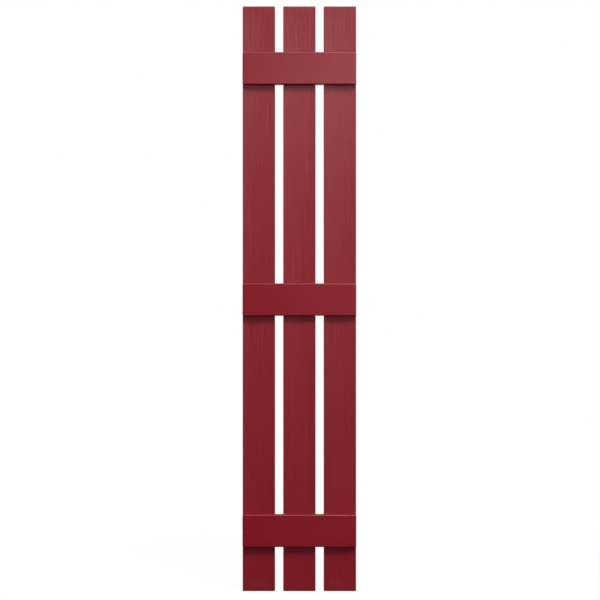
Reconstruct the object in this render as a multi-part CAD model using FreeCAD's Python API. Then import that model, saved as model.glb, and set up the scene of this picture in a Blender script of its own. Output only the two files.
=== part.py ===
# Board and batten shutter: hollow moulded boards, set apart and held by raised hollow battens.
# Seen from the front, +X is right and +Z is up. The back lies on the wall plane, y = 0, and the
# front faces -Y. The origin is on that plane, in the middle of the middle board, level with the
# middle of the middle batten.
import FreeCAD, Part

import math
import os

# Overall sizes, in millimetres
BOARD_LENGTH = 1600.0
BOARD_WIDTH = 88.9
BOARD_GAP = 22.2
BATTEN_HEIGHT = 88.9
TOP_SETBACK = 127.5
BOTTOM_SETBACK = 123.0

# Board moulding
BOARD_DEPTH = 19.0
BOARD_WALL = 2.5
BOARD_DRAFT = 1.5
BOARD_EDGE_RADIUS = 2.0
BOARD_RIB = 2.5
BOARD_RIB_PITCH = 105.0

# Batten moulding
BATTEN_DEPTH = 16.0
BATTEN_WALL = 2.5
BATTEN_DRAFT = 2.0
BATTEN_EDGE_RADIUS = 2.5
BATTEN_RIB = 2.5

# Screw posts inside the battens, and the holes in the boards that their screws pass through
POST_SPACING = 44.0
POST_DIAMETER = 9.0
PILOT_DIAMETER = 3.2
PILOT_DEPTH = 11.0
SCREW_HOLE_DIAMETER = 4.6

# Tongues under each batten that reach between the boards and hold them apart
TONGUE_REACH = 8.0
TONGUE_HEIGHT = 56.0
TONGUE_CLEARANCE = 0.3

# How far a cutting tool runs past the face that it opens
OVERRUN = 1.0

# How near two depths have to be to count as one
SAME_DEPTH = 1e-6

# Places that follow from the sizes above
BOARD_PITCH = BOARD_WIDTH + BOARD_GAP
SHUTTER_WIDTH = 2 * BOARD_PITCH + BOARD_WIDTH
BOARD_TOP = (BOARD_LENGTH + TOP_SETBACK - BOTTOM_SETBACK) / 2
BOARD_BOTTOM = BOARD_TOP - BOARD_LENGTH
BOARD_BACK = 0.0
BOARD_FRONT = BOARD_BACK - BOARD_DEPTH
BATTEN_FRONT = BOARD_FRONT - BATTEN_DEPTH
BATTEN_RISE = BOARD_TOP - TOP_SETBACK - BATTEN_HEIGHT / 2

BOARD_CENTRES = {"left": -BOARD_PITCH, "middle": 0.0, "right": BOARD_PITCH}
BATTEN_CENTRES = {"top": BATTEN_RISE, "middle": 0.0, "bottom": -BATTEN_RISE}
POST_RISES = (-POST_SPACING / 2, POST_SPACING / 2)


def drafted_block(x_span, z_span, mouth, start, floor, draft):
    """A block from depth start to depth floor, whose sides lean in towards the front.
    Its spans are measured at the depth called mouth."""
    def inset_spans(y):
        inset = (mouth - y) * math.tan(math.radians(draft))
        return x_span[0] + inset, x_span[1] - inset, z_span[0] + inset, z_span[1] - inset
    x_low, x_high, z_low, z_high = inset_spans(floor)
    x_low_back, x_high_back, z_low_back, z_high_back = inset_spans(start)
    return Part.makeWedge(x_low, floor, z_low, z_low_back, x_low_back,
                          x_high, start, z_high, z_high_back, x_high_back)


def edges_between(solid, y_low, y_high):
    """The edges whose ends reach from depth y_low to depth y_high."""
    def reaches(edge):
        depths = [v.Y for v in edge.Vertexes]
        return abs(min(depths) - y_low) < SAME_DEPTH and abs(max(depths) - y_high) < SAME_DEPTH
    return [edge for edge in solid.Edges if reaches(edge)]


def rounded_block(x_span, z_span, mouth, floor, draft, radius):
    """A moulding's outside: a drafted block with its front edges and its corners rounded."""
    block = drafted_block(x_span, z_span, mouth, mouth, floor, draft)
    front_edges = edges_between(block, floor, floor)
    corners = edges_between(block, floor, mouth)
    return block.makeFillet(radius, front_edges + corners)


def pocket(x_span, z_span, mouth, floor, draft):
    """A drafted core, which runs past the open back of a moulding."""
    return drafted_block(x_span, z_span, mouth, mouth + OVERRUN, floor, draft)


def rod(diameter, x, z, y_low, y_high):
    """A round bar along Y, from y_low to y_high."""
    base = FreeCAD.Vector(x, y_low, z)
    return Part.makeCylinder(diameter / 2, y_high - y_low, base, FreeCAD.Vector(0, 1, 0))


def divide(low, high, largest):
    """The points that divide low to high into the fewest equal steps of at most the largest size."""
    steps = max(1, math.ceil((high - low) / largest))
    return [low + (high - low) * i / steps for i in range(1, steps)]


def board_rib_levels():
    """A rib behind the middle of each batten, and evenly spaced ribs from these to the ends."""
    stations = [BOARD_BOTTOM, *sorted(BATTEN_CENTRES.values()), BOARD_TOP]
    levels = stations[1:-1]
    for low, high in zip(stations, stations[1:]):
        levels += divide(low, high, BOARD_RIB_PITCH)
    return sorted(levels)


def board_cells():
    """The Z spans of the hollows in a board, from its bottom wall through its ribs to its top wall."""
    sides = [BOARD_BOTTOM + BOARD_WALL]
    for level in board_rib_levels():
        sides += [level - BOARD_RIB / 2, level + BOARD_RIB / 2]
    sides.append(BOARD_TOP - BOARD_WALL)
    return list(zip(sides[0::2], sides[1::2]))


def screw_levels():
    """Where the screws stand along a board: a pair behind each batten."""
    return [centre + rise for centre in BATTEN_CENTRES.values() for rise in POST_RISES]


def board(x):
    """A tray with ribs across its open back, and screw holes behind each batten."""
    half = BOARD_WIDTH / 2
    outside = rounded_block((x - half, x + half), (BOARD_BOTTOM, BOARD_TOP),
                            BOARD_BACK, BOARD_FRONT, BOARD_DRAFT, BOARD_EDGE_RADIUS)
    floor = BOARD_FRONT + BOARD_WALL
    x_span = (x - half + BOARD_WALL, x + half - BOARD_WALL)
    cores = [pocket(x_span, z_span, BOARD_BACK, floor, BOARD_DRAFT) for z_span in board_cells()]
    holes = [rod(SCREW_HOLE_DIAMETER, x, z, BOARD_FRONT - OVERRUN, floor + OVERRUN)
             for z in screw_levels()]
    return outside.cut(cores + holes).removeSplitter()


def tongue_spans():
    """The X span of each gap between boards at the depth of the tongues' tips, less the clearance."""
    lean = (BOARD_DEPTH - TONGUE_REACH) * math.tan(math.radians(BOARD_DRAFT))
    half = BOARD_WIDTH / 2 - lean + TONGUE_CLEARANCE
    centres = sorted(BOARD_CENTRES.values())
    return [(low + half, high - half) for low, high in zip(centres, centres[1:])]


def batten_cells():
    """The X spans of the hollows under a batten: over each board and gap, with ribs between them."""
    sides = [-SHUTTER_WIDTH / 2 + BATTEN_WALL]
    for low, high in tongue_spans():
        sides += [low, low + BATTEN_RIB, high - BATTEN_RIB, high]
    sides.append(SHUTTER_WIDTH / 2 - BATTEN_WALL)
    return list(zip(sides[0::2], sides[1::2]))


def tongues(z, seat):
    """The ribs beside each gap, carried on past the boards' faces into the gap."""
    depth = BOARD_FRONT + TONGUE_REACH - seat
    low_z = z - TONGUE_HEIGHT / 2
    starts = [x for low, high in tongue_spans() for x in (low, high - BATTEN_RIB)]
    return [Part.makeBox(BATTEN_RIB, depth, TONGUE_HEIGHT, FreeCAD.Vector(x, seat, low_z))
            for x in starts]


def batten(z):
    """A tray that lies on the boards, with a rib along its middle, screw posts and tongues."""
    half_x = SHUTTER_WIDTH / 2
    half_z = BATTEN_HEIGHT / 2
    outside = rounded_block((-half_x, half_x), (z - half_z, z + half_z),
                            BOARD_FRONT, BATTEN_FRONT, BATTEN_DRAFT, BATTEN_EDGE_RADIUS)
    floor = BATTEN_FRONT + BATTEN_WALL
    lower_row = (z - half_z + BATTEN_WALL, z - BATTEN_RIB / 2)
    upper_row = (z + BATTEN_RIB / 2, z + half_z - BATTEN_WALL)
    cores = [pocket(x_span, z_span, BOARD_FRONT, floor, BATTEN_DRAFT)
             for x_span in batten_cells() for z_span in (lower_row, upper_row)]
    places = [(x, z + rise) for x in BOARD_CENTRES.values() for rise in POST_RISES]
    seat = BATTEN_FRONT + BATTEN_WALL / 2
    posts = [rod(POST_DIAMETER, x, level, seat, BOARD_FRONT) for x, level in places]
    pilots = [rod(PILOT_DIAMETER, x, level, BOARD_FRONT - PILOT_DEPTH, BOARD_FRONT + OVERRUN)
              for x, level in places]
    return outside.cut(cores).fuse(posts + tongues(z, seat)).cut(pilots).removeSplitter()


def save(name, shape):
    """Writes one piece, which has to be one closed solid."""
    if len(shape.Solids) != 1 or not shape.isValid():
        raise ValueError(f"{name} is not one valid solid")
    shape.Solids[0].exportStep(f"parts/{name}.step")


def main():
    os.makedirs("parts", exist_ok=True)
    for side, x in BOARD_CENTRES.items():
        save(f"{side}_board", board(x))
    for place, z in BATTEN_CENTRES.items():
        save(f"{place}_batten", batten(z))


main()
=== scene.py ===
import math

import bmesh
import bpy
import numpy as np
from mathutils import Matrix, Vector
from mathutils.geometry import delaunay_2d_cdt


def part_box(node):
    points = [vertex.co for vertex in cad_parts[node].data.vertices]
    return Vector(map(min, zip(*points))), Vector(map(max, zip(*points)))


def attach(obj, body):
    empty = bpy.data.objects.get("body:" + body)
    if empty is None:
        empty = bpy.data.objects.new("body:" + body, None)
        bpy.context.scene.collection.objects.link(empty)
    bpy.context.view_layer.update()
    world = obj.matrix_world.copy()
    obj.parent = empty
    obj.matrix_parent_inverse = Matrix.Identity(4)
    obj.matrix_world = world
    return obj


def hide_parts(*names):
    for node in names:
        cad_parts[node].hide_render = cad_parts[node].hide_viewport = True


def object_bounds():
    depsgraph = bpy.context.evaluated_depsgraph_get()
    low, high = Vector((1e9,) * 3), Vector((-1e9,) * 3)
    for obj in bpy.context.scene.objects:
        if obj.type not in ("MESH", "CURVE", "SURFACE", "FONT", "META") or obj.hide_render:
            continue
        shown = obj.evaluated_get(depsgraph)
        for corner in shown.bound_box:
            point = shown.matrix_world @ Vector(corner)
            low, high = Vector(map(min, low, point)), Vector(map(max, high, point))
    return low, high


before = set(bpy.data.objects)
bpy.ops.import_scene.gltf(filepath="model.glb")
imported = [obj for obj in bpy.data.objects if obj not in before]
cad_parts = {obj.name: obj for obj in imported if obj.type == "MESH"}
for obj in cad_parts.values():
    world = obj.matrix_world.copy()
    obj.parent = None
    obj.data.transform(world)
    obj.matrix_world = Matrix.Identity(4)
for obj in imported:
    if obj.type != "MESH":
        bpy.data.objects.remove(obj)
cad_low, cad_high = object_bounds()

MM = 0.001
QUARTER_TURN = math.pi / 2
X_AXIS, Z_AXIS = 0, 2

# Nodes of the solids
BOARDS = ("left_board", "middle_board", "right_board")
BATTENS = ("bottom_batten", "middle_batten", "top_batten")

# Board moulding
BOARD_WALL = 2.5 * MM
BOARD_DRAFT = math.radians(1.5)
BOARD_EDGE_RADIUS = 2.0 * MM
BOARD_RIB = 2.5 * MM
BOARD_RIB_PITCH = 105.0 * MM
BOARD_CORNER = 1.5 * MM

# Batten moulding
BATTEN_DEPTH = 16.0 * MM
BATTEN_WALL = 2.5 * MM
BATTEN_DRAFT = math.radians(2.0)
BATTEN_EDGE_RADIUS = 2.5 * MM
BATTEN_RIB = 2.5 * MM
BATTEN_CORNER = 1.5 * MM

# Screw posts in the battens
POST_SPACING = 44.0 * MM
POST_RADIUS = 4.5 * MM
PILOT_RADIUS = 1.6 * MM
PILOT_DEPTH = 11.0 * MM

# Tongues under the battens
TONGUE_REACH = 8.0 * MM
TONGUE_HEIGHT = 56.0 * MM
TONGUE_CLEARANCE = 0.3 * MM
TONGUE_INSET = 0.1 * MM

# Moulding details of the back
ROOT_RADIUS = 1.0 * MM
LIP = 0.4 * MM
EJECTOR_RADIUS = 4.0 * MM
EJECTOR_DEPTH = 0.25 * MM
EJECTOR_OFFSET = 22.22 * MM

# Screws
SCREW_HEAD_RADIUS = 4.0 * MM
SCREW_HEAD_HEIGHT = 2.3 * MM
SCREW_RIM_HEIGHT = 0.5 * MM
SCREW_TOP_RADIUS = 2.3 * MM
SCREW_SHANK_RADIUS = 1.55 * MM
SCREW_SHANK_LENGTH = 13.0 * MM
SCREW_POINT_LENGTH = 3.0 * MM
SCREW_TIP_RADIUS = 0.31 * MM

# Cross recess of a screw: the reach and half the width of its arms, at its mouth and on its floor
RECESS_MOUTH = (1.85 * MM, 0.5 * MM)
RECESS_FLOOR = (1.2 * MM, 0.35 * MM)
RECESS_DEPTH = 1.5 * MM

# Depth of the embossed grain, how far a face has sunk in its middle, and the seeds of their patterns
BOARD_GRAIN = 0.28 * MM
BOARD_SINK = 0.9 * MM
BOARD_SEEDS = (215, 301, 160)
BATTEN_GRAIN = 0.07 * MM
BATTEN_SINK = 0.15 * MM
BATTEN_SEEDS = (21, 22, 23)

# Width and length of the grain's waves, of its grooves, and of the patches where it is deeper
GRAIN_WAVE = (5.0 * MM, 110.0 * MM)
GRAIN_GROOVE = (1.5 * MM, 40.0 * MM)
GRAIN_PATCH = (40.0 * MM, 160.0 * MM)

# The random value at which a groove starts, the rise to its full depth, and its share of the grain
GROOVE_START = 0.58
GROOVE_RISE = 0.25
GROOVE_SHARE = 0.55

# The strength of the grain where it is least deep, and what the patches add to that
PATCH_LEAST = 0.3
PATCH_RANGE = 1.4

# How the grain wanders sideways: the swing of each wave, and its length per radian
WANDERS = ((1.6 * MM, 190.0 * MM), (0.9 * MM, 71.0 * MM))

# A face sinks unevenly: the width and length of that pattern, and the least share of the sink
SINK_PATCH = (45.0 * MM, 350.0 * MM)
SINK_LEAST = 0.5

# Widths of the borders on which the embossed grain and the sink of a face die out
GRAIN_BORDER = 3.0 * MM
SINK_BORDER = 40.0 * MM

# Rows of random values past a face's length, because each column starts at its own phase
SPARE_ROWS = 4

# Fineness of the meshes
FACE_STEP_ACROSS = 0.7 * MM
FACE_STEP_ALONG = 5.0 * MM
EDGE_STEPS = 6
CORNER_STEPS = 6
CIRCLE_STEPS = 24
DOME_STEPS = 4
WELD = 1e-6
FILL_TOLERANCE = 1e-7
SHARP_ANGLE = math.radians(32)

# Directions outwards of a rectangle's sides: bottom, right, top and left
HEADINGS = [math.radians(angle) for angle in (-90, 0, 90, 180)]

# Kind of triangulation that fills the first loop and leaves out the loops in it
INSIDE_WITH_HOLES = 2

# Places in a piece's list of materials
FACE, BODY = 0, 1


# Places that follow from the solids

def centre(node, axis):
    """The middle of a node's box along an axis."""
    low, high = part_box(node)
    return (low[axis] + high[axis]) / 2


BATTEN_LEVELS = [centre(node, Z_AXIS) for node in BATTENS]
BOARD_PLACES = [centre(node, X_AXIS) for node in BOARDS]
BOARD_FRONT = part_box(BOARDS[0])[0].y
BOARD_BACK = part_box(BOARDS[0])[1].y
BOARD_FLOOR = BOARD_FRONT + BOARD_WALL
BATTEN_FRONT = BOARD_FRONT - BATTEN_DEPTH
BATTEN_FLOOR = BATTEN_FRONT + BATTEN_WALL
SCREW_RISES = (-POST_SPACING / 2, POST_SPACING / 2)


# Meshes and their outlines

class Patches:
    """Faces gathered patch by patch, and then welded into one closed mesh."""

    def __init__(self):
        self.points = []
        self.faces = []
        self.finishes = []

    def add(self, points, faces, finish):
        """A patch of faces over its own points, with the place of its material in the list."""
        start = len(self.points)
        self.points += points
        self.faces += [[start + i for i in face] for face in faces]
        self.finishes += [finish] * len(faces)

    def rings(self, sections, finish=BODY):
        """Bands through (loop, depth) sections in turn, whose loops have as many points each."""
        for (loop, y), (next_loop, next_y) in zip(sections, sections[1:]):
            count = len(loop)
            points = [(x, y, z) for x, z in loop] + [(x, next_y, z) for x, z in next_loop]
            pairs = [(i, (i + 1) % count) for i in range(count)]
            self.add(points, [(i, j, count + j, count + i) for i, j in pairs], finish)

    def fill(self, loops, y):
        """A flat face within the first loop that leaves out the other loops."""
        flat = [Vector(point) for loop in loops for point in loop]
        ends = np.cumsum([0] + [len(loop) for loop in loops]).tolist()
        outlines = [list(range(a, b)) for a, b in zip(ends, ends[1:])]
        filled = delaunay_2d_cdt(flat, [], outlines, INSIDE_WITH_HOLES, FILL_TOLERANCE)
        points, _, faces, _, _, _ = filled
        self.add([(p.x, y, p.y) for p in points], faces, BODY)

    def mesh(self, name):
        """The patches as one mesh with outward normals and sharp creases."""
        mesh = bpy.data.meshes.new(name)
        mesh.from_pydata(self.points, [], self.faces)
        mesh.polygons.foreach_set("material_index", self.finishes)
        welded = bmesh.new()
        welded.from_mesh(mesh)
        bmesh.ops.remove_doubles(welded, verts=welded.verts, dist=WELD)
        bmesh.ops.recalc_face_normals(welded, faces=welded.faces)
        welded.to_mesh(mesh)
        welded.free()
        mesh.shade_smooth()
        mesh.set_sharp_from_angle(angle=SHARP_ANGLE)
        return mesh


def even_steps(end, steps):
    """The values from 0 to the end in that many equal steps."""
    return [end * k / steps for k in range(steps + 1)]


def divide(low, high, largest):
    """The points that divide low to high into the fewest equal steps of at most the largest size."""
    steps = max(1, math.ceil((high - low) / largest))
    return [low + (high - low) * i / steps for i in range(1, steps)]


def arc(x, z, radius, angles):
    """The points of a circle at those angles."""
    return [(x + radius * math.cos(a), z + radius * math.sin(a)) for a in angles]


def circle(x, z, radius):
    """A loop round a circle."""
    return arc(x, z, radius, even_steps(2 * math.pi, CIRCLE_STEPS)[:-1])


def rounded_rect(x_span, z_span, radius):
    """A loop round a rectangle whose corners are rounded."""
    left, right = x_span[0] + radius, x_span[1] - radius
    bottom, top = z_span[0] + radius, z_span[1] - radius
    corners = ((right, bottom), (right, top), (left, top), (left, bottom))
    loop = []
    for (x, z), heading in zip(corners, HEADINGS):
        angles = [heading + turn for turn in even_steps(QUARTER_TURN, CORNER_STEPS)]
        loop += arc(x, z, radius, angles)
    return loop


def cross(x, z, reach, half_width, turn):
    """A loop round a cross recess."""
    quarter = [(half_width, -half_width), (reach, -half_width), (reach, half_width)]
    loop = []
    for arm in range(4):
        angle = turn + arm * QUARTER_TURN
        c, s = math.cos(angle), math.sin(angle)
        loop += [(x + c * u - s * v, z + s * u + c * v) for u, v in quarter]
    return loop


# Embossed grain

def smooth(share):
    """Eases a share from 0 to 1, with level ends."""
    share = np.clip(share, 0, 1)
    return share * share * (3 - 2 * share)


def streaks(across, along, width, length, rng):
    """Smooth random values from 0 to 1, in columns of that width whose features have that length."""
    column = (across - across.min()) / width
    low = np.floor(column).astype(int)
    weight = smooth(column - low)
    columns = low.max() + 2
    rows = int(np.ptp(along) / length) + SPARE_ROWS
    table = rng.random((columns, rows))
    phases = rng.random(columns)

    def in_column(index):
        position = (along - along.min()) / length + phases[index]
        start = np.floor(position).astype(int)
        share = smooth(position - start)
        return table[index, start] * (1 - share) + table[index, start + 1] * share

    return in_column(low) * (1 - weight) + in_column(low + 1) * weight


def grain_depth(across, along, depth, rng):
    """How deep the embossed grain lies below the face: broad waves and fine grooves that wander
    together, cut deeper in some places than in others."""
    turns = rng.random(len(WANDERS)) * 2 * math.pi
    swings = [swing * np.sin(along / length + turn) for (swing, length), turn in zip(WANDERS, turns)]
    shifted = across + sum(swings)
    waves = streaks(shifted, along, *GRAIN_WAVE, rng)
    grooves = smooth((streaks(shifted, along, *GRAIN_GROOVE, rng) - GROOVE_START) / GROOVE_RISE)
    strength = PATCH_LEAST + PATCH_RANGE * streaks(across, along, *GRAIN_PATCH, rng)
    return depth * strength * ((1 - GROOVE_SHARE) * waves + GROOVE_SHARE * grooves)


def border_fade(places, border):
    """0 at both ends of the places, rising smoothly to 1 within the border."""
    inside = np.minimum(places - places.min(), places.max() - places)
    return smooth(inside / border)


class Surface:
    """An embossed face that has sunk a little between its edges, and how finely it is divided.
    Its grain runs along Z if it is upright, and otherwise along X."""

    def __init__(self, upright, grain, sink, seed):
        self.upright = upright
        self.grain = grain
        self.sink = sink
        self.seed = seed

    def steps(self, x_span, z_span):
        """The numbers of steps along X and Z."""
        step_x, step_z = FACE_STEP_ACROSS, FACE_STEP_ALONG
        if not self.upright:
            step_x, step_z = step_z, step_x
        return round(np.ptp(x_span) / step_x), round(np.ptp(z_span) / step_z)

    def depths(self, x, z):
        """How deep the face lies at each place: its grain, and the sink, which is deepest midway."""
        across, along = (x, z) if self.upright else (z, x)
        rng = np.random.default_rng(self.seed)
        grain = grain_depth(across, along, self.grain, rng)
        grain *= border_fade(across, GRAIN_BORDER) * border_fade(along, GRAIN_BORDER)
        place = 2 * (across - across.min()) / np.ptp(across) - 1
        uneven = SINK_LEAST + streaks(across, along, *SINK_PATCH, rng)
        return grain + self.sink * uneven * (1 - place * place) * border_fade(along, SINK_BORDER)


# Parts of a moulding

def embossed_face(patches, xs, zs, front, surface):
    """A moulding's front face: a grid that is pushed in by the depths of its surface."""
    depths = surface.depths(*np.meshgrid(xs, zs, indexing="ij"))
    points = [(x, front + depths[i, j], z) for i, x in enumerate(xs) for j, z in enumerate(zs)]
    row = len(zs)
    corners = [i * row + j for i in range(len(xs) - 1) for j in range(row - 1)]
    patches.add(points, [(c, c + row, c + row + 1, c + 1) for c in corners], FACE)


def face_border(xs, zs):
    """The face's border as (x, z, direction outwards), with a fan of directions at each corner."""
    bottom = [(x, zs[0]) for x in xs]
    right = [(xs[-1], z) for z in zs]
    top = [(x, zs[-1]) for x in xs[::-1]]
    left = [(xs[0], z) for z in zs[::-1]]
    fan = even_steps(QUARTER_TURN, CORNER_STEPS)[1:-1]
    border = []
    for side, heading in zip((bottom, right, top, left), HEADINGS):
        border += [(x, z, heading) for x, z in side]
        border += [(*side[-1], heading + turn) for turn in fan]
    return border


def outside(patches, x_span, z_span, mouth, front, draft, radius, surface):
    """A moulding's embossed face, rounded edge and drafted sides. Returns the loop of its mouth."""
    reach = (mouth - front - radius) * math.tan(draft) + radius / math.cos(draft)
    steps_x, steps_z = surface.steps(x_span, z_span)
    xs = np.linspace(x_span[0] + reach, x_span[1] - reach, steps_x + 1)
    zs = np.linspace(z_span[0] + reach, z_span[1] - reach, steps_z + 1)
    embossed_face(patches, xs, zs, front, surface)
    border = face_border(xs, zs)

    def section(offset, y):
        return [(x + offset * math.cos(turn), z + offset * math.sin(turn)) for x, z, turn in border], y

    edge = [section(radius * math.sin(t), front + radius * (1 - math.cos(t)))
            for t in even_steps(QUARTER_TURN - draft, EDGE_STEPS)]
    lip_depth = edge[-1][1] + LIP
    lip = section(reach - (mouth - lip_depth) * math.tan(draft), lip_depth)
    mouth_section = section(reach, mouth)
    patches.rings(edge, FACE)
    patches.rings([edge[-1], lip, mouth_section])
    return mouth_section[0]


def pocket(patches, x_span, z_span, mouth, floor, draft, corner, studs):
    """A hollow with drafted walls, a rounded root and studs on its floor. Returns its loop."""
    def section(y, inset):
        lean = (mouth - y) * math.tan(draft) + inset
        spans = [(low + lean, high - lean) for low, high in (x_span, z_span)]
        return rounded_rect(*spans, max(corner - inset, LIP)), y

    walls = [section(mouth, 0), section(floor + ROOT_RADIUS + LIP, 0)]
    root = [section(floor + ROOT_RADIUS * (1 - math.sin(t)), ROOT_RADIUS * (1 - math.cos(t)))
            for t in even_steps(QUARTER_TURN, EDGE_STEPS)]
    border = section(floor, ROOT_RADIUS + LIP)
    patches.rings([*walls, *root, border])
    feet = [stud(patches, floor, *values) for values in studs]
    patches.fill([border[0], *feet], floor)
    return walls[0][0]


def stud(patches, floor, x, z, radius, rise, bore_depth=0):
    """A disc that stands on a floor or is sunk in it, with a pilot hole if that has a depth.
    Returns the loop of its foot."""
    top = floor + rise
    edge = min(abs(rise), LIP) / 2
    foot = circle(x, z, radius)
    rim = circle(x, z, radius - edge)
    patches.rings([(foot, floor), (foot, top - math.copysign(edge, rise)), (rim, top)])
    if bore_depth:
        bore = circle(x, z, PILOT_RADIUS)
        patches.fill([rim, bore], top)
        patches.rings([(bore, top), (bore, top - bore_depth)])
        patches.fill([bore], top - bore_depth)
    else:
        patches.fill([rim], top)
    return foot


def tongue(patches, x, z, base):
    """A blade on a batten's rib that reaches into a gap. Returns the loop of its foot."""
    def section(inset, y):
        x_span = (x + inset, x + BATTEN_RIB - inset)
        z_span = (z - TONGUE_HEIGHT / 2 + inset, z + TONGUE_HEIGHT / 2 - inset)
        return rounded_rect(x_span, z_span, LIP), y

    tip = base + TONGUE_REACH
    sections = [section(TONGUE_INSET, base), section(TONGUE_INSET, tip - LIP),
                section(TONGUE_INSET + LIP / 2, tip)]
    patches.rings(sections)
    patches.fill([sections[-1][0]], tip)
    return sections[0][0]


# Layout of the ribs, marks and tongues

def cells(low, high, ribs, rib):
    """The spans between the ends of a row and the ribs that divide it."""
    sides = [low, *[side for level in ribs for side in (level - rib / 2, level + rib / 2)], high]
    return list(zip(sides[0::2], sides[1::2]))


def board_ribs(bottom, top):
    """Levels of a board's ribs: one behind the middle of each batten, and even steps between."""
    stations = [bottom, *BATTEN_LEVELS, top]
    levels = list(BATTEN_LEVELS)
    for low, high in zip(stations, stations[1:]):
        levels += divide(low, high, BOARD_RIB_PITCH)
    return sorted(levels)


def ejector_marks(x, z_span):
    """The marks of the two pins that pushed a cell out of the mould, as studs that are sunk."""
    middle = sum(z_span) / 2
    places = (x - EJECTOR_OFFSET, x + EJECTOR_OFFSET)
    return [(place, middle, EJECTOR_RADIUS, -EJECTOR_DEPTH) for place in places]


def tongue_spans():
    """The X span of each gap between boards at the tongues' tips, less the clearance."""
    low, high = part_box(BOARDS[0])
    lean = (BOARD_BACK - BOARD_FRONT - TONGUE_REACH) * math.tan(BOARD_DRAFT)
    reach = (high.x - low.x) / 2 - lean + TONGUE_CLEARANCE
    return [(left + reach, right - reach) for left, right in zip(BOARD_PLACES, BOARD_PLACES[1:])]


# Pieces

def board_patches(node, surface):
    """A board: a tray with ribs across its open back."""
    low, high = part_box(node)
    patches = Patches()
    mouth = outside(patches, (low.x, high.x), (low.z, high.z), BOARD_BACK, BOARD_FRONT,
                    BOARD_DRAFT, BOARD_EDGE_RADIUS, surface)
    x_span = (low.x + BOARD_WALL, high.x - BOARD_WALL)
    spans = cells(low.z + BOARD_WALL, high.z - BOARD_WALL, board_ribs(low.z, high.z), BOARD_RIB)
    hollows = []
    for z_span in spans:
        marks = ejector_marks(centre(node, X_AXIS), z_span)
        hollows.append(pocket(patches, x_span, z_span, BOARD_BACK, BOARD_FLOOR,
                              BOARD_DRAFT, BOARD_CORNER, marks))
    patches.fill([mouth, *hollows], BOARD_BACK)
    return patches


def batten_patches(node, surface):
    """A batten: a tray that lies on the boards, with ribs, screw posts and tongues."""
    low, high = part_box(node)
    level = centre(node, Z_AXIS)
    patches = Patches()
    mouth = outside(patches, (low.x, high.x), (low.z, high.z), BOARD_FRONT, BATTEN_FRONT,
                    BATTEN_DRAFT, BATTEN_EDGE_RADIUS, surface)
    blades = [x for left, right in tongue_spans() for x in (left, right - BATTEN_RIB)]
    ribs = [x + BATTEN_RIB / 2 for x in blades]
    rows = cells(low.z + BATTEN_WALL, high.z - BATTEN_WALL, [level], BATTEN_RIB)
    hollows = []
    for x_span in cells(low.x + BATTEN_WALL, high.x - BATTEN_WALL, ribs, BATTEN_RIB):
        for z_span, rise in zip(rows, SCREW_RISES):
            posts = [(x, level + rise, POST_RADIUS, BOARD_FRONT - BATTEN_FLOOR, PILOT_DEPTH)
                     for x in BOARD_PLACES if x_span[0] < x < x_span[1]]
            hollows.append(pocket(patches, x_span, z_span, BOARD_FRONT, BATTEN_FLOOR,
                                  BATTEN_DRAFT, BATTEN_CORNER, posts))
    feet = [tongue(patches, x, level, BOARD_FRONT) for x in blades]
    patches.fill([mouth, *hollows, *feet], BOARD_FRONT)
    return patches


def screw_head(x, z):
    """Sections of a screw's head: its upright rim, and a quarter of an ellipse up to its flat top."""
    rim_top = BOARD_FLOOR + SCREW_RIM_HEIGHT
    width = SCREW_HEAD_RADIUS - SCREW_TOP_RADIUS
    height = SCREW_HEAD_HEIGHT - SCREW_RIM_HEIGHT
    dome = [(circle(x, z, SCREW_TOP_RADIUS + width * math.cos(t)), rim_top + height * math.sin(t))
            for t in even_steps(QUARTER_TURN, DOME_STEPS)]
    return [(circle(x, z, SCREW_HEAD_RADIUS), BOARD_FLOOR), *dome]


def screw(patches, x, z, turn):
    """A round-headed screw with a cross recess, driven from the back through a board's front wall."""
    head = screw_head(x, z)
    rim, seat = head[0]
    top_loop, top = head[-1]
    recess = cross(x, z, *RECESS_MOUTH, turn)
    recess_floor = cross(x, z, *RECESS_FLOOR, turn)
    patches.rings(head)
    patches.fill([top_loop, recess], top)
    patches.rings([(recess, top), (recess_floor, top - RECESS_DEPTH)])
    patches.fill([recess_floor], top - RECESS_DEPTH)

    shank = circle(x, z, SCREW_SHANK_RADIUS)
    tip = circle(x, z, SCREW_TIP_RADIUS)
    end = seat - SCREW_SHANK_LENGTH
    patches.fill([rim, shank], seat)
    patches.rings([(shank, seat), (shank, end + SCREW_POINT_LENGTH), (tip, end)])
    patches.fill([tip], end)


def screw_patches(level, seed):
    """The screws of one batten, each turned at random."""
    rng = np.random.default_rng(seed)
    patches = Patches()
    for x in BOARD_PLACES:
        for rise in SCREW_RISES:
            screw(patches, x, level + rise, rng.uniform(0, QUARTER_TURN))
    return patches


def add_piece(name, patches, face_material, body_material):
    """A visible piece, which rides on the shutter's one body."""
    piece = bpy.data.objects.new(name, patches.mesh(name))
    bpy.context.scene.collection.objects.link(piece)
    piece.data.materials.append(face_material)
    piece.data.materials.append(body_material)
    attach(piece, "root")
    return piece


# Shader nodes

def add_node(tree, kind, inputs=(), **settings):
    """A node with those settings. Each input is a value or the socket that feeds it."""
    node = tree.nodes.new(kind)
    for key, value in settings.items():
        setattr(node, key, value)
    for key, value in dict(inputs).items():
        if isinstance(value, bpy.types.NodeSocket):
            tree.links.new(value, node.inputs[key])
        else:
            node.inputs[key].default_value = value
    return node


def new_material(name):
    """A material and its empty node tree."""
    material = bpy.data.materials.new(name)
    material.use_nodes = True
    tree = material.node_tree
    tree.nodes.clear()
    return material, tree


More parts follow.
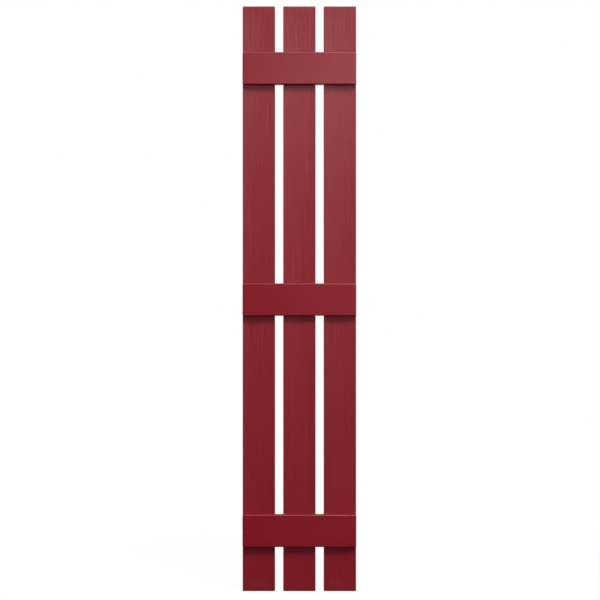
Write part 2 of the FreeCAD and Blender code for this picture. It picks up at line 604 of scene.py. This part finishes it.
def noise(tree, per_metre, detail, roughness=0.5):
    """A noise with that many features per metre along X, Y and Z."""
    place = add_node(tree, "ShaderNodeTexCoord").outputs["Object"]
    mapped = add_node(tree, "ShaderNodeMapping", {"Vector": place, "Scale": per_metre})
    inputs = {"Vector": mapped.outputs["Vector"], "Scale": 1.0, "Detail": detail, "Roughness": roughness}
    return add_node(tree, "ShaderNodeTexNoise", inputs).outputs["Fac"]


def ramp(tree, value, span, results):
    """The value, mapped from its span to the two results."""
    inputs = {"Value": value, "From Min": span[0], "From Max": span[1],
              "To Min": results[0], "To Max": results[1]}
    return add_node(tree, "ShaderNodeMapRange", inputs).outputs["Result"]


def combine(tree, operation, first, second):
    """The result of an operation on two values."""
    return add_node(tree, "ShaderNodeMath", {0: first, 1: second}, operation=operation).outputs["Value"]


def mix_colours(tree, share, first, second):
    """The first colour, with a share of the second."""
    inputs = {"Factor": share, "A": first, "B": second}
    return add_node(tree, "ShaderNodeMix", inputs, data_type="RGBA").outputs["Result"]


def mix_shaders(tree, share, first, second):
    """The first shader, with a share of the second."""
    inputs = {"Fac": share, 1: first, 2: second}
    return add_node(tree, "ShaderNodeMixShader", inputs).outputs["Shader"]


def bump(tree, height, depth, below=None):
    """The normals of a relief of that depth, laid over the normals of the relief below it."""
    inputs = {"Height": height, "Distance": depth, "Strength": 1.0}
    if below:
        inputs["Normal"] = below
    return add_node(tree, "ShaderNodeBump", inputs).outputs["Normal"]


# Materials

# The range in which most values of a noise lie
NOISE_RANGE = (0.3, 0.7)

# The plastic's reds, and the shares of its streaks and clouds in the change from one to the other
RED_DEEP = (0.196, 0.0008, 0.0084, 1.0)
RED_PALE = (0.214, 0.0014, 0.0100, 1.0)
STREAK_SHARE = 0.6
CLOUD_SHARE = 0.4

# The plastic's pores and clouds per metre along X, Y and Z, and the pores' depth
PORES = (2600, 2600, 2600)
PORE_DEPTH = 0.012 * MM
CLOUDS = (9, 9, 5)

# The plastic's refractive index, and how far its roughness varies to either side
PLASTIC_IOR = 1.54
ROUGHNESS_SPREAD = 0.05

# Zinc plating, with its mottle per metre
ZINC_DARK = (0.50, 0.49, 0.46, 1.0)
ZINC_PALE = (0.68, 0.67, 0.63, 1.0)
ZINC_ROUGHNESS = (0.28, 0.42)
ZINC_MOTTLE = (900, 900, 900)
ZINC_MOTTLE_DEPTH = 0.01 * MM


def plastic(name, streaks_per_metre, streak_depth, roughness):
    """Satin plastic, coloured through, with fine streaks and the faint texture of the mould."""
    material, tree = new_material(name)
    streak = noise(tree, streaks_per_metre, detail=3.0, roughness=0.6)
    pores = noise(tree, PORES, detail=2.0)
    clouds = noise(tree, CLOUDS, detail=2.0)
    tone = combine(tree, "ADD", ramp(tree, streak, NOISE_RANGE, (0.0, STREAK_SHARE)),
                   ramp(tree, clouds, NOISE_RANGE, (0.0, CLOUD_SHARE)))
    roughness_span = (roughness - ROUGHNESS_SPREAD, roughness + ROUGHNESS_SPREAD)
    inputs = {"Base Color": mix_colours(tree, tone, RED_DEEP, RED_PALE),
              "Roughness": ramp(tree, streak, NOISE_RANGE, roughness_span),
              "Normal": bump(tree, streak, streak_depth, below=bump(tree, pores, PORE_DEPTH)),
              "IOR": PLASTIC_IOR}
    shader = add_node(tree, "ShaderNodeBsdfPrincipled", inputs)
    add_node(tree, "ShaderNodeOutputMaterial", {"Surface": shader.outputs["BSDF"]})
    return material


def zinc(name):
    """Zinc-plated steel, faintly mottled."""
    material, tree = new_material(name)
    mottle = noise(tree, ZINC_MOTTLE, detail=3.0)
    inputs = {"Base Color": mix_colours(tree, mottle, ZINC_DARK, ZINC_PALE),
              "Metallic": 1.0,
              "Roughness": ramp(tree, mottle, NOISE_RANGE, ZINC_ROUGHNESS),
              "Normal": bump(tree, mottle, ZINC_MOTTLE_DEPTH)}
    shader = add_node(tree, "ShaderNodeBsdfPrincipled", inputs)
    add_node(tree, "ShaderNodeOutputMaterial", {"Surface": shader.outputs["BSDF"]})
    return material


# The shutter

board_face = plastic("board_face", streaks_per_metre=(750, 750, 14),
                     streak_depth=0.08 * MM, roughness=0.45)
batten_face = plastic("batten_face", streaks_per_metre=(14, 750, 750),
                      streak_depth=0.025 * MM, roughness=0.36)
moulded_back = plastic("moulded_back", streaks_per_metre=(260, 260, 260),
                       streak_depth=0.01 * MM, roughness=0.46)
plated_steel = zinc("plated_steel")

for node, seed in zip(BOARDS, BOARD_SEEDS):
    surface = Surface(upright=True, grain=BOARD_GRAIN, sink=BOARD_SINK, seed=seed)
    moulding = add_piece(node + "_moulding", board_patches(node, surface), board_face, moulded_back)
    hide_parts(node)

for node, seed in zip(BATTENS, BATTEN_SEEDS):
    surface = Surface(upright=False, grain=BATTEN_GRAIN, sink=BATTEN_SINK, seed=seed)
    moulding = add_piece(node + "_moulding", batten_patches(node, surface), batten_face, moulded_back)
    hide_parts(node)
    screws = screw_patches(centre(node, Z_AXIS), seed)
    add_piece(node + "_screws", screws, plated_steel, plated_steel)


# Studio

WHITE = (1.0, 1.0, 1.0, 1.0)
ORIGIN = (0.0, 0.0, 0.0)

# Strength of the world's even light
AMBIENT = 0.02

# Floor: its size, its tone to rays that don't show it white, and how white it is in full shadow
FLOOR_SIZE = 8.0
FLOOR_TONE = 0.02
FLOOR_GLOW = 0.95

# Distances from the shutter's foot at which its shadow on the floor starts to fade and has ended
SHADOW_REACH = (0.5, 1.2)

# Backdrop in reflections: where it starts and is full towards the back, and its share of white there
BACKDROP_RISE = (0.0, 0.3)
BACKDROP_SHARE = 0.7

# Camera: its distance from the boards, the width of the photograph's frame there, and its X and Z
CAMERA_DISTANCE = 4.0
FRAME_WIDTH = 1640.1 * MM
CAMERA_X = 1.7 * MM
CAMERA_Z = -1.2 * MM


def grey(tone):
    """A grey of that tone."""
    return (tone, tone, tone, 1.0)


def seen_directly(tree):
    """1 for rays that show the background itself, which are camera and transmission rays."""
    path = add_node(tree, "ShaderNodeLightPath").outputs
    return combine(tree, "MAXIMUM", path["Is Camera Ray"], path["Is Transmission Ray"])


def mirrored_behind(tree, coordinates):
    """For reflected rays, a share of white that rises towards the back, where a backdrop stands.
    The coordinates are a ray's direction in the world, or a place on the floor."""
    place = add_node(tree, "ShaderNodeTexCoord").outputs[coordinates]
    back = add_node(tree, "ShaderNodeSeparateXYZ", {"Vector": place}).outputs["Y"]
    glossy = add_node(tree, "ShaderNodeLightPath").outputs["Is Glossy Ray"]
    return combine(tree, "MULTIPLY", glossy, ramp(tree, back, BACKDROP_RISE, (0.0, BACKDROP_SHARE)))


def white_share(tree, coordinates):
    """How far a ray shows the white background."""
    return combine(tree, "MAXIMUM", seen_directly(tree), mirrored_behind(tree, coordinates))


def away_from_shutter(tree):
    """0 on the floor near the shutter, rising to 1 where its shadow has ended."""
    place = add_node(tree, "ShaderNodeTexCoord").outputs["Object"]
    distance = add_node(tree, "ShaderNodeVectorMath", {0: place}, operation="LENGTH").outputs["Value"]
    return ramp(tree, distance, SHADOW_REACH, (0.0, 1.0))


def emission(tree, strength):
    """A white glow of that strength."""
    inputs = {"Color": WHITE, "Strength": strength}
    return add_node(tree, "ShaderNodeEmission", inputs).outputs["Emission"]


def floor_material():
    """White to the camera, apart from the shutter's shadow, and in reflections towards the back.
    To other rays it is dark, so that it adds hardly any light."""
    material, tree = new_material("pale_floor")
    dark = add_node(tree, "ShaderNodeBsdfDiffuse", {"Color": grey(FLOOR_TONE)}).outputs["BSDF"]
    shade = add_node(tree, "ShaderNodeBsdfDiffuse", {"Color": grey(1 - FLOOR_GLOW)}).outputs["BSDF"]
    glow = emission(tree, FLOOR_GLOW)
    near = add_node(tree, "ShaderNodeAddShader", {0: shade, 1: glow}).outputs["Shader"]
    pale = mix_shaders(tree, away_from_shutter(tree), near, emission(tree, 1.0))
    shown = mix_shaders(tree, white_share(tree, "Object"), dark, pale)
    add_node(tree, "ShaderNodeOutputMaterial", {"Surface": shown})
    return material


def add_floor():
    """A flat floor at the foot of the boards."""
    mesh = bpy.data.meshes.new("floor")
    half = FLOOR_SIZE / 2
    corners = ((-half, -half, 0), (half, -half, 0), (half, half, 0), (-half, half, 0))
    mesh.from_pydata(corners, [], [(0, 1, 2, 3)])
    mesh.materials.append(floor_material())
    floor = bpy.data.objects.new("floor", mesh)
    floor.location.z = cad_low.z
    bpy.context.scene.collection.objects.link(floor)


def background(tree, strength):
    """A white world of that strength."""
    inputs = {"Color": WHITE, "Strength": strength}
    return add_node(tree, "ShaderNodeBackground", inputs).outputs["Background"]


def add_world():
    """White to the camera and in reflections towards the back, and a dim even light on the object."""
    world = bpy.data.worlds.new("studio")
    world.use_nodes = True
    tree = world.node_tree
    tree.nodes.clear()
    dim = background(tree, AMBIENT)
    white = background(tree, 1.0)
    shown = mix_shaders(tree, white_share(tree, "Generated"), dim, white)
    add_node(tree, "ShaderNodeOutputWorld", {"Surface": shown})
    bpy.context.scene.world = world


def add_panel(name, place, size, level, target=ORIGIN, in_reflections=True):
    """A flat soft light of that width and height, turned to its target.
    At level 1 it alone would show a colour as written, on a face at the origin that is turned to it."""
    aim = (Vector(target) - Vector(place)).normalized()
    slant = -aim.dot(Vector(place).normalized())
    light = bpy.data.lights.new(name, "AREA")
    light.shape = "RECTANGLE"
    light.size, light.size_y = size
    light.energy = level * (math.pi * Vector(place).length) ** 2 / slant
    panel = bpy.data.objects.new(name, light)
    panel.location = place
    panel.rotation_euler = aim.to_track_quat("-Z", "Y").to_euler()
    panel.visible_camera = False
    panel.visible_glossy = in_reflections
    bpy.context.scene.collection.objects.link(panel)


def add_camera():
    """The photograph's view: straight on, with the camera level with the middle of the shutter."""
    data = bpy.data.cameras.new("camera")
    data.lens = data.sensor_width * CAMERA_DISTANCE / FRAME_WIDTH
    camera = bpy.data.objects.new("camera", data)
    camera.location = (CAMERA_X, BOARD_FRONT - CAMERA_DISTANCE, CAMERA_Z)
    camera.rotation_euler = (QUARTER_TURN, 0.0, 0.0)
    bpy.context.scene.collection.objects.link(camera)
    bpy.context.scene.camera = camera


add_floor()
add_world()
add_panel("ceiling_panel", place=(1.2, -2.6, 2.6), size=(3.0, 2.4), level=0.42, target=(1.2, -2.6, 0.0))
add_panel("overhead_panel", place=(2.0, -4.6, 6.4), size=(3.0, 3.0), level=0.70)
add_panel("upper_panel", place=(0.3, -0.7, 0.7), size=(1.2, 0.35), level=0.11)
add_panel("front_panel", place=(0.85, -2.4, 0.75), size=(0.8, 0.8), level=0.12, target=(0.0, 0.0, 0.2))
add_panel("low_panel", place=(0.4, -2.6, -0.55), size=(2.0, 0.6), level=0.28, in_reflections=False)
add_panel("side_panel", place=(-2.6, 0.3, 0.3), size=(0.8, 2.0), level=0.35)
add_panel("back_panel", place=(0.0, 2.6, 0.6), size=(0.5, 3.0), level=0.8, in_reflections=False)
add_camera()
bpy.context.scene.view_settings.view_transform = "Standard"
